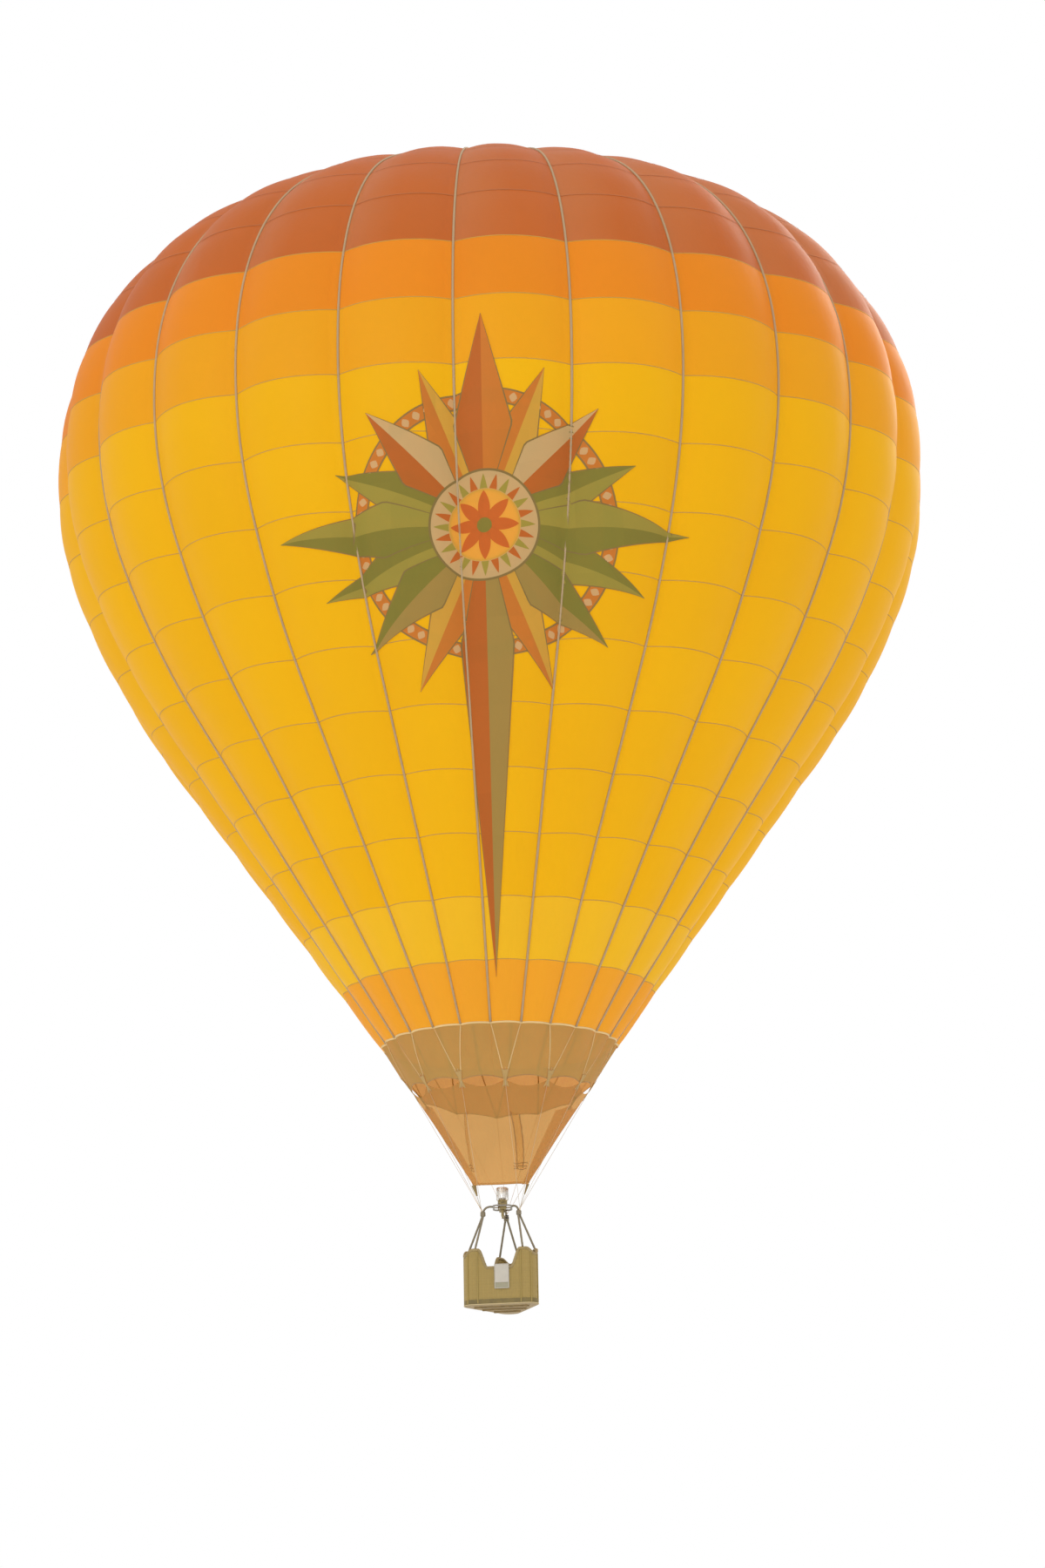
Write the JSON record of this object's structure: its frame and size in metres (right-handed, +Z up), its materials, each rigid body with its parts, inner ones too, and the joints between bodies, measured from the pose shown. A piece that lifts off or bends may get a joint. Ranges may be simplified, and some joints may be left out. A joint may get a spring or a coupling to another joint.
{
  "type": "hot air balloon",
  "caption": "Gored cloth envelope in warm bands with a vent at its crown, a scoop, wires, a burner in its frame and a three-cornered wicker basket.",
  "frame": {"origin": "the envelope's centre of lift, on the balloon's axis, where the air holds the balloon up", "axes": "+Z up along the balloon's axis; -Y towards the side with the banner, which the basket's front wall faces within ten degrees; +X to the right seen from that side"},
  "size_m": [20.0346, 20.0346, 26.2713],
  "materials": {
    "throat_cloth": "flame-proof cloth, orange brown, lets light through",
    "orange_cloth": "ripstop nylon, orange",
    "amber_cloth": "ripstop nylon, amber",
    "yellow_cloth": "ripstop nylon, yellow",
    "terracotta_cloth": "ripstop nylon, terracotta",
    "webbing": "woven load tape",
    "ring_metal": "brushed",
    "wire_steel": "stainless wire rope",
    "frame_steel": "stainless tube",
    "pole_cover": "padded cover",
    "wicker": "woven cane",
    "basket_wood": "oiled",
    "hide": "stitched hide",
    "tank_steel": "brushed stainless",
    "banner_cloth": "plain pale cloth",
    "burner_metal": "dull, heat stained",
    "can_steel": "bright stainless"
  },
  "bodies": {
    "balloon": {"throat_panel": "throat_cloth", "lower_orange_band": "orange_cloth", "lower_amber_band": "amber_cloth", "yellow_band_1": "yellow_cloth", "yellow_band_2": "yellow_cloth", "yellow_band_3": "yellow_cloth", "yellow_band_4": "yellow_cloth", "upper_amber_band": "amber_cloth", "upper_orange_band": "orange_cloth", "crown_panel": "terracotta_cloth", "crown_tapes": "webbing", "crown_ring": "ring_metal", "scoop_left": "throat_cloth", "scoop_front": "throat_cloth", "scoop_right": "throat_cloth", "flying_wires_left": "wire_steel", "flying_wires_right": "wire_steel", "flying_wires_back": "wire_steel", "burner_frame": "frame_steel", "upright_left_1": "pole_cover", "upright_left_2": "pole_cover", "upright_right_1": "pole_cover", "upright_right_2": "pole_cover", "upright_back_1": "pole_cover", "upright_back_2": "pole_cover", "basket_floor": "basket_wood", "basket_corner_left": "wicker", "basket_corner_right": "wicker", "basket_corner_back": "wicker", "basket_wall_front": "wicker", "basket_wall_right": "wicker", "basket_wall_left": "wicker", "basket_rim": "hide", "scuff_band": "hide", "runner_front": "basket_wood", "runner_middle": "basket_wood", "runner_back": "basket_wood", "fuel_tank_left": "tank_steel", "fuel_tank_right": "tank_steel", "fuel_tank_back": "tank_steel", "banner": "banner_cloth"},
    "vent": {"parachute_vent": "terracotta_cloth"},
    "burner": {"burner_block": "burner_metal", "burner_can_front": "can_steel", "burner_can_back": "can_steel"}
  },
  "joints": [
    {"name": "vent_slide", "type": "slide", "parent": "balloon", "child": "vent", "axis": [0, 0, 1], "range_m": [-1.2, 0], "stiffness_N_per_m": 250, "springref_m": 0.8},
    {"name": "burner_tilt", "type": "hinge", "parent": "balloon", "child": "burner", "pos_m": [0, 0, -15.4], "axis": [1, 0, 0], "range_deg": [-12, 12]}
  ]
}
